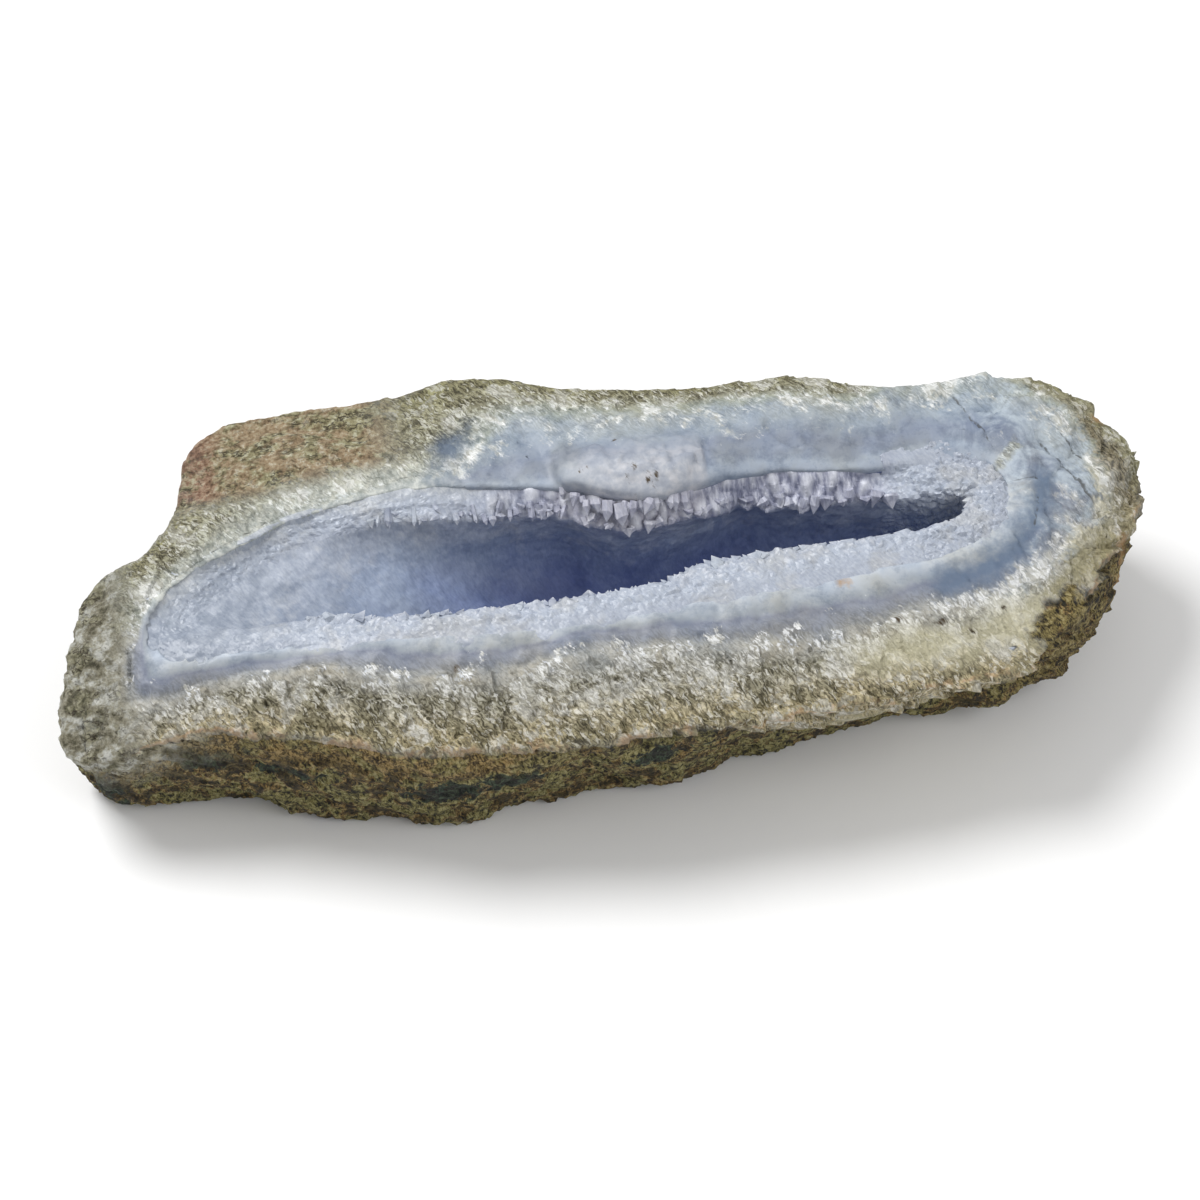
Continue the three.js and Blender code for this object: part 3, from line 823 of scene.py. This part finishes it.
def make_crust(stone):
    stone_points = [Vector(p) for p in to_source(places(stone.data))]
    stone_tree = BVHTree.FromPolygons(stone_points, faces_of(stone.data))
    lining, co, share = crust_lining(crust_rings(stone_tree))
    data = lining.data
    co = relaxed(data, co, 4, np.zeros(len(co)))
    set_places(data, co)
    x, y, _ = co.T
    top = fade(share, 1, 1.02)
    band = top * rise(share, -0.03, 0.03)
    far = far_side(co)
    near = fade(y, -5, 0)
    left = fade(x, -62, -40)
    right = rise(x, 46, 56)
    crest = near * band * fade(share, 0.3, 0.7) * (1 - left)
    curtain = far * band * (1 - right)
    push, peak = crust_relief(co, top, band, near, far, right, crest, curtain)
    pushed = draped(co + normals(data) * push[:, None], share, stone_tree, far < 0.5)
    fold = rise(share, 0.55, 0.75) * top * rise(y, -2, 3) * (1 - right)
    pushed = relaxed(data, pushed, 10, 1 - fold)
    points, faces, in_fringe = crystals()
    faces = faces_of(data) + [tuple(len(co) + v for v in face) for face in faces]
    points = np.concatenate([pushed, points])
    bpy.data.objects.remove(lining)
    crust = mesh_object("crust", to_frame(points), faces)
    data = crust.data

    def padded(values, rest=0):
        """The lining's values, and one value for all points of the crystals."""
        return np.append(values, np.full(len(in_fringe), rest))

    across = points[:, 0]
    lip = mouth.at(polar(points[:, :2])[0])
    count = len(in_fringe) // PRISM_POINTS
    at_tip = np.tile(np.arange(PRISM_POINTS) == PRISM_POINTS - 1, count)
    tints = np.repeat(RNG.uniform(0, 1, count), PRISM_POINTS)
    paint(
        data,
        depth=np.clip(lip[:, 2] - points[:, 2], 0, 30) / 20,
        fringe=np.append(curtain, in_fringe) * rise(across, -34, -4),
        shallow=fade(across, -66, -42),
        under_knob=between(across, -9, -2, 17, 20.5),
        share=padded(np.where(share > 1, -1, share)),
        seam=padded(rise(share, 0.3, 0.75) * rise(y, -2, 4) * fade(x, -24, -12)),
        peak=np.append(peak, at_tip),
        tint=np.append(np.full(len(co), 0.5), tints),
    )
    sugary = band * fade(share, 0.75, 0.9)
    flat = padded(np.max([crest, right * top, sugary], axis=0) > 0.3, True)
    data.polygons.foreach_set("use_smooth", [not flat[p.vertices[0]] for p in data.polygons])
    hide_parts("crystal_crust")
    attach(crust, "root")
    return crust


# ---- Materials ----

GRAIN_TURN = 36      # degrees about Z of the quartz fibres, as the photo shows them
QUARTZ_IOR = 1.544
CLEARNESS = 0.12     # share of the light that goes into the frosted crystals


def colour(code):
    """Linear RGBA of an sRGB colour written as six hexadecimal digits."""
    channels = [int(code[i:i + 2], 16) / 255 for i in (0, 2, 4)]
    linear = [c / 12.92 if c <= 0.04045 else ((c + 0.055) / 1.055) ** 2.4 for c in channels]
    return (*linear, 1)


class Shader:
    """A material's nodes, with a short call for each kind that is used."""

    def __init__(self, name):
        self.material = bpy.data.materials.new(name)
        self.material.use_nodes = True
        self.tree = self.material.node_tree
        self.out = self.tree.nodes["Principled BSDF"]
        self.mm = self.vector("SCALE", {0: self.node("TexCoord").outputs["Object"], "Scale": 1 / MM})

    def put(self, socket, value):
        if isinstance(value, bpy.types.NodeSocket):
            self.tree.links.new(value, socket)
        else:
            socket.default_value = value

    def node(self, kind, inputs=None, **settings):
        """A new node with these settings, and numbers or sockets for its inputs."""
        node = self.tree.nodes.new("ShaderNode" + kind)
        for name, value in settings.items():
            setattr(node, name, value)
        for key, value in (inputs or {}).items():
            self.put(node.inputs[key], value)
        return node

    def attribute(self, name):
        return self.node("Attribute", attribute_name=name).outputs["Fac"]

    def vector(self, operation, inputs, output=0):
        return self.node("VectorMath", inputs, operation=operation).outputs[output]

    def stretched(self, lengths, turn=0, vector=None):
        """Coordinates turned about Z and drawn out, for grain of these lengths that runs one way."""
        turned = (0, 0, math.radians(turn))
        inputs = {"Vector": vector or self.mm, "Rotation": turned, "Scale": lengths}
        return self.node("Mapping", inputs, vector_type="TEXTURE").outputs[0]

    def noise(self, size, detail=4, rough=0.55, vector=None, distortion=0, output="Fac"):
        return self.node("TexNoise", {
            "Vector": vector or self.mm, "Scale": 1 / size, "Detail": detail, "Roughness": rough,
            "Distortion": distortion,
        }).outputs[output]

    def cells(self, size, vector):
        """A Voronoi texture whose cells are about so many units of the vector wide."""
        return self.node("TexVoronoi", {"Vector": vector, "Scale": 1 / size}).outputs

    def maths(self, operation, *values):
        return self.node("Math", dict(enumerate(values)), operation=operation).outputs[0]

    def times(self, a, b):
        return self.maths("MULTIPLY", a, b)

    def plus(self, a, b):
        return self.maths("ADD", a, b)

    def minus(self, a, b):
        return self.maths("SUBTRACT", a, b)

    def span(self, value, low, high, to_low=0, to_high=1):
        return self.node("MapRange", dict(enumerate((value, low, high, to_low, to_high)))).outputs[0]

    def ramp(self, value, stops):
        """Colours along a value. The stops are written as one string: position colour, and so on."""
        node = self.node("ValToRGB", {0: value})
        elements = node.color_ramp.elements
        elements.remove(elements[1])
        for i, stop in enumerate(stops.split(", ")):
            position, code = stop.split()
            element = elements.new(float(position)) if i else elements[0]
            element.position, element.color = float(position), colour(code)
        return node.outputs[0]

    def blend(self, share, a, b, kind="MIX"):
        a, b = (colour(c) if isinstance(c, str) else c for c in (a, b))
        inputs = {0: share, 6: a, 7: b}
        return self.node("Mix", inputs, data_type="RGBA", blend_type=kind, clamp_factor=True).outputs[2]

    def tinted(self, share, a, b):
        return self.blend(share, a, b, "MULTIPLY")

    def mask(self, name, ragged, texture, soft, most=1):
        """Up to most inside a painted distance, with a ragged edge so many millimetres soft."""
        edge = self.times(self.minus(texture, 0.5), ragged)
        return self.span(self.plus(self.attribute(name), edge), soft, -soft, 0, most)

    def warped(self, size, amount):
        """Coordinates stirred by noise, so that cells get ragged edges."""
        stir = self.noise(size, 2, 0.5, output="Color")
        return self.vector("MULTIPLY_ADD", {0: stir, 1: (amount,) * 3, 2: self.mm})

    def facets(self, size):
        """Height in millimetres of small flat facets that each tilt their own way."""
        cells = self.cells(size, self.mm)
        offset = self.vector("SUBTRACT", {0: self.mm, 1: cells["Position"]})
        tilt = self.vector("SUBTRACT", {0: cells["Color"], 1: (0.5, 0.5, 0.5)})
        return self.vector("DOT_PRODUCT", {0: offset, 1: tilt}, "Value")

    def bump(self, *layers):
        """Stacks bumps, each (height, strength, distance in mm)."""
        normal = None
        for height, strength, distance in layers:
            inputs = {"Height": height, "Strength": strength, "Distance": distance * MM}
            if normal is not None:
                inputs["Normal"] = normal
            normal = self.node("Bump", inputs).outputs[0]
        self.put(self.out.inputs["Normal"], normal)


def stone_shader():
    """A shader with the painted values and the textures that the stone's bands share."""
    m = Shader("agate_and_rind")
    m.growth, m.rock, m.far, m.end, m.soft = map(m.attribute, ("growth", "rock", "far", "end", "soft"))
    wobble = m.plus(m.noise(7, 3), m.times(m.noise(1.6, 3), 0.4))
    m.along = m.plus(m.growth, m.span(wobble, 0.35, 1.05, -0.14, 0.14))
    m.half = m.times(m.along, 0.5)
    m.patchy = m.noise(5, 4, 0.65)
    m.plates = m.noise(5, 6, 0.68)
    m.grit = m.noise(1.2, 5, 0.7)
    m.fine = m.noise(0.5, 3, 0.7)
    m.stirred = m.warped(1.5, 1.2)
    m.streaks = m.noise(1, 3, 0.65, m.stretched((0.28, 1.5, 1), GRAIN_TURN, m.stirred))
    m.flakes = m.cells(1, m.stretched((0.5, 1.3, 1), GRAIN_TURN, m.stirred))["Color"]
    m.streaked = m.ramp(m.streaks, "0.4 59543e, 0.46 a9a492, 0.51 dbd9d0, 0.56 ffffff")
    m.shards = m.ramp(m.flakes, "0.25 a8a38f, 0.4 dad8cf, 0.55 ffffff")
    m.cream = m.mask("cream", 5, m.patchy, 2)
    return m


def chalcedony_look(m):
    """Blue and grey bands, cloudy, with the milky knob and a paler stretch at the far left."""
    near = m.ramp(m.half, (
        "0 b8bfc7, 0.06 b3bac2, 0.15 a5abb1, 0.22 93999f, 0.29 7d8290, 0.33 868b97, 0.42 83878f, "
        "0.5 9c9d9b, 0.55 b0aea6"
    ))
    away = m.ramp(m.half, (
        "0 969fac, 0.04 9aa4b1, 0.09 858e9d, 0.2 7f8899, 0.27 8c96a3, 0.33 98a2ac, 0.42 9fa7ad, "
        "0.5 a5a99c, 0.7 aaa994, 0.95 96936f"
    ))
    hazy = m.ramp(m.noise(11, 4, 0.6), "0.36 dfe6f0, 0.5 ffffff, 0.64 f4efe4")
    look = m.tinted(0.8, m.blend(m.far, near, away), hazy)
    swirl = m.span(m.noise(6, 4, 0.6, distortion=1.5), 0.42, 0.62, 0, 0.7)
    look = m.blend(m.times(swirl, m.end), look, "b9c4cc")
    cloudy = m.plus(m.noise(3, 5, 0.7), m.times(m.fine, 0.3))
    look = m.tinted(0.8, look, m.ramp(cloudy, "0.5 d3d7de, 0.6 eceef2, 0.68 ffffff"))
    knobby = m.ramp(m.noise(2.2, 4, 0.6), "0.38 989da8, 0.5 a7abb3, 0.62 b9babf")
    look = m.blend(m.attribute("knob"), look, knobby)
    pale = m.ramp(m.noise(1.6, 4, 0.7), "0.4 8e948f, 0.5 a9ada8, 0.6 c6c8c0")
    look = m.blend(m.times(m.attribute("pale"), 0.85), look, pale)
    return m.tinted(m.times(m.span(m.along, 0.5, 0.9), 0.35), look, m.streaked)


def quartz_look(m):
    """White to cream fibres, streaked and splintered, with some dirt and a brown stretch of rim."""
    near = m.ramp(m.half, "0.5 b8bdc7, 0.57 ced0d2, 0.72 e2dfd3, 0.93 d8cba6")
    away = m.ramp(m.half, "0.5 c3c9cb, 0.6 cfd2c7, 0.8 c8c6ab, 0.95 b0ad83")
    dirt = m.minus(m.plates, m.span(m.end, 0, 1, 0, 0.035))
    look = m.blend(m.span(dirt, 0.5, 0.46, 0, 0.6), m.blend(m.far, near, away), "918c6e")
    look = m.blend(m.span(m.plates, 0.54, 0.56, 0, 0.6), look, "d9d9d5")
    clear = m.times(m.span(m.plates, 0.45, 0.62, 0.9, 0.4), m.span(m.soft, 0, 1, 1, 0.45))
    look = m.tinted(m.times(clear, m.span(m.cream, 0, 1, 1, 0.5)), look, m.streaked)
    look = m.tinted(m.span(m.cream, 0, 1, 0.55, 0.3), look, m.shards)
    glints = m.times(m.span(m.flakes, 0.66, 0.7), m.span(m.streaks, 0.47, 0.52))
    look = m.blend(m.times(glints, 0.4), look, "f0f0ee")
    look = m.blend(m.times(m.cream, 0.55), look, "cfc9a8")
    look = m.blend(m.mask("khaki", 5, m.patchy, 1, 0.6), look, "a9a17c")
    brown = m.tinted(1, "93886d", m.streaked)
    return m.blend(m.mask("brown_rim", 6, m.patchy, 1, 0.85), look, brown)


def quartz_share(m):
    """Where the quartz has begun, with its inner edge frayed into the chalcedony."""
    ragged = m.plus(m.times(m.plates, 0.8), m.times(m.streaks, 0.2))
    frayed = m.plus(m.growth, m.span(ragged, 0.35, 0.65, -0.7, 0.7))
    starts = m.span(m.soft, 0, 1, 1.1, 0.8)
    begun = m.span(frayed, starts, m.plus(starts, m.span(m.soft, 0, 1, 0.15, 0.5)))
    begun = m.maths("MAXIMUM", m.span(m.growth, 1.15, 1.35), begun)
    return m.times(begun, m.minus(1, m.rock))


def face_look(m):
    """Chalcedony and quartz, with a deep blue stretch, clear prism faces and a peach-coloured seam."""
    look = m.blend(quartz_share(m), chalcedony_look(m), quartz_look(m))
    look = m.blend(m.mask("deep_blue", 11, m.patchy, 2.2, 0.85), look, "54667e")
    prism_faces = m.tinted(0.8, m.tinted(1, "c6cbc6", m.shards), m.streaked)
    look = m.blend(m.mask("prism", 4, m.patchy, 0.4, 0.7), look, prism_faces)
    seam = m.span(m.maths("ABSOLUTE", m.minus(m.along, 1.98)), 0.05, 0.01)
    seam = m.times(m.times(seam, m.span(m.far, 0, 1, 1, 0)), m.span(m.patchy, 0.42, 0.56, 0, 0.7))
    return m.blend(seam, look, "c39f78")


def rind_look(m):
    """Olive and brown grains, with moss, a painted shadow line under the face's edge and an ochre
    stretch.
    """
    grains = m.plus(m.times(m.grit, 0.55), m.times(m.streaks, 0.45))
    olive = m.ramp(grains, "0.42 131208, 0.465 4c4729, 0.5 716b3f, 0.54 8c8451, 0.6 aaa377")
    brown = m.ramp(grains, "0.42 170f06, 0.465 544023, 0.5 7d6439, 0.55 987f4f, 0.61 b09a6e")
    brownish = m.maths("MAXIMUM", m.span(m.patchy, 0.48, 0.54), m.span(m.end, 0, 1, 0, 0.4))
    look = m.blend(brownish, olive, brown)
    look = m.blend(m.span(m.plates, 0.54, 0.56, 0, 0.75), look, m.tinted(0.8, "4a5236", look))
    moss = m.ramp(grains, "0.45 040c0a, 0.51 11251f, 0.58 2b4639")
    look = m.blend(m.mask("moss", 12, m.plates, 0.2, 0.9), look, moss)
    # Painted shade: a near-black line on the rind just under the face's overhanging edge, faded out
    # over the ochre stretch.
    shade_under_edge = m.times(m.span(m.growth, 1.95, 2.03), m.span(m.growth, 2.25, 2.05))
    ochre = m.attribute("ochre")
    look = m.blend(m.times(shade_under_edge, m.span(ochre, 0, 1, 0.5, 0)), look, "1f1f12")
    ochre_streaks = m.ramp(m.streaks, "0.42 4a3c20, 0.5 8d7642, 0.56 b59a66")
    return m.blend(m.times(ochre, m.span(m.patchy, 0.42, 0.55, 0.2, 0.8)), look, ochre_streaks)


def outside_look(m):
    """The outside: rind, the tan and reddish block, the frosted left end, and creases over all."""
    tan = m.ramp(m.grit, "0.33 5c4a34, 0.43 8a7558, 0.5 9f8b6e, 0.57 ae9e82, 0.64 c8bfab")
    reddish = m.ramp(m.grit, "0.33 432a1e, 0.43 785642, 0.52 977660, 0.62 b4a088")
    greenish = m.ramp(m.grit, "0.38 5d5c40, 0.5 96946f, 0.62 c0c0a4")
    tan = m.blend(m.attribute("red"), tan, reddish)
    tan = m.blend(m.span(m.patchy, 0.47, 0.58, 0, 0.75), tan, greenish)
    frost = m.ramp(m.noise(3.4, 6, 0.7), "0.38 504d3b, 0.45 817c68, 0.52 9d9a8a, 0.6 c3c3bb")
    spotted = m.ramp(m.grit, "0.4 3a3a26, 0.5 7c785c, 0.6 a9a68e")
    frost = m.blend(m.span(m.patchy, 0.48, 0.56, 0, 0.7), frost, spotted)
    look = m.blend(m.attribute("tan"), rind_look(m), tan)
    look = m.blend(m.times(m.attribute("frost"), m.span(m.growth, 2.5, 2.1)), look, frost)
    bedding = m.noise(1, 4, 0.6, m.stretched((6, 2.2, 2.2), -8, m.stirred))
    creases = m.span(m.maths("ABSOLUTE", m.minus(bedding, 0.48)), 0.03, 0.008)
    return m.blend(m.times(creases, m.span(m.patchy, 0.42, 0.56, 0.1, 0.85)), look, "2a2014")


def stone_material():
    m = stone_shader()
    look = m.blend(m.rock, face_look(m), outside_look(m))
    look = m.blend(m.mask("rust", 2.5, m.grit, 0.5, 0.8), look, "a5845a")
    look = m.blend(m.mask("specks", 1.2, m.streaks, 0.15), look, "43351f")
    cracked = m.plus(m.attribute("crack"), m.span(m.patchy, 0.3, 0.7, -0.15, 0.25))
    look = m.blend(m.times(m.span(cracked, 0.3, 0.12), 0.75), look, "3c3c38")
    m.put(m.out.inputs["Base Color"], m.blend(m.span(m.growth, -0.12, -0.02), "5a668c", look))
    m.put(m.out.inputs["Roughness"], m.span(m.rock, 0, 1, 0.5, 0.85))
    broken = m.span(m.growth, 0.95, 1.35)
    rough = m.maths("MAXIMUM", broken, m.rock)
    faceted = m.times(broken, m.span(m.cream, 0, 1, 1, 0.25))
    m.bump(
        (m.times(m.facets(2.2), faceted), 0.8, 1),
        (m.times(m.streaks, rough), 0.9, 0.5),
        (m.times(m.grit, rough), 1, 0.8),
        (m.fine, 0.5, 0.08),
    )
    return m.material


def crust_material():
    m = Shader("quartz_druse")
    fringe = m.attribute("fringe")
    wobble = m.span(m.noise(8, 3), 0.3, 0.7, -0.08, 0.08)
    share = m.attribute("share")
    # Darker and bluer deeper in the hollow: partly the chalcedony's own deeper blue, partly painted
    # shade of the hollow's depths.
    blue_and_shade_by_depth = "0 97a0ac, 0.15 9fa9b7, 0.3 9facbf, 0.6 8c9ab9, 0.85 6d7cab, 1 6070a2"
    inner = m.ramp(m.plus(m.attribute("depth"), wobble), blue_and_shade_by_depth)
    mottled = m.ramp(m.noise(5, 5, 0.7), "0.38 dfe3ea, 0.5 f2f4f7, 0.6 ffffff")
    inner = m.tinted(0.7, inner, mottled)
    across = m.plus(share, m.span(m.noise(4, 4, 0.6), 0.3, 0.7, -0.15, 0.15))
    crest = m.ramp(across, "0 c3cad3, 0.35 bfc7d0, 0.7 b9c0c9, 0.95 b6bdc5")
    warm = m.times(m.span(m.noise(7, 4, 0.6), 0.5, 0.62), 0.5)
    crest = m.blend(warm, crest, "c3c3be")
    sunk = m.plus(share, m.span(m.noise(3, 4, 0.65), 0.35, 0.65, -0.1, 0.1))
    look = m.blend(m.span(sunk, -0.2, 0.06), inner, crest)
    greyed = m.ramp(m.noise(3, 4, 0.65), "0.4 8f99a5, 0.5 9da6b1, 0.6 aeb6bf")
    look = m.blend(m.times(m.attribute("shallow"), 0.85), look, greyed)
    strands = m.noise(1, 4, 0.6, m.stretched((0.7, 2.5, 2.5)))
    hung = m.ramp(strands, "0.38 82869a, 0.46 9a9db0, 0.52 adb0c0, 0.6 cfd1dc")
    look = m.blend(fringe, look, hung)
    frayed = m.ramp(m.noise(1.6, 4, 0.7), "0.4 a9aeb0, 0.5 bfc4c4, 0.6 d6d8d4")
    look = m.blend(m.times(m.attribute("seam"), 0.8), look, frayed)
    pinkish = m.span(m.attribute("under_knob"), 0, 1, 0, 0.7)
    look = m.blend(m.times(pinkish, fringe), look, "c3c1c8")
    # Painted highlight: the lip's teeth whiten towards their tips, as their glints.
    tips = m.times(m.span(share, 0.22, 0), fringe)
    look = m.blend(m.times(tips, 0.4), look, "e4e5ec")
    streaks = m.noise(1, 4, 0.65, m.stretched((0.35, 1.2, 1), GRAIN_TURN))
    look = m.tinted(1, look, m.ramp(streaks, "0.42 e9ebf0, 0.52 f7f8fa, 0.6 ffffff"))
    glassy = m.ramp(m.attribute("tint"), "0 e4e4ec, 0.5 f4f4f8, 1 ffffff")
    look = m.tinted(1, look, glassy)
    # Painted highlight: the crystals' tips and the druse's peaks whitened, as their glints.
    look = m.blend(m.times(m.span(m.attribute("peak"), 0.25, 1), 0.5), look, "e8eaf0")
    m.put(m.out.inputs["Base Color"], look)
    m.put(m.out.inputs["Roughness"], m.span(share, -0.1, 0.1, 0.6, 0.42))
    m.put(m.out.inputs["IOR"], QUARTZ_IOR)
    m.put(m.out.inputs["Transmission Weight"], CLEARNESS)
    m.bump(
        (m.times(strands, fringe), 0.3, 0.5),
        (m.facets(1.6), 0.25, 1),
        (m.noise(1, 4, 0.6, m.stretched((0.3, 1.8, 1.5), GRAIN_TURN)), 0.15, 0.2),
    )
    return m.material


make_camera()
make_floor()
make_lights()
stone = make_stone()
stone.data.materials.clear()
stone.data.materials.append(stone_material())
crust = make_crust(stone)
crust.data.materials.append(crust_material())
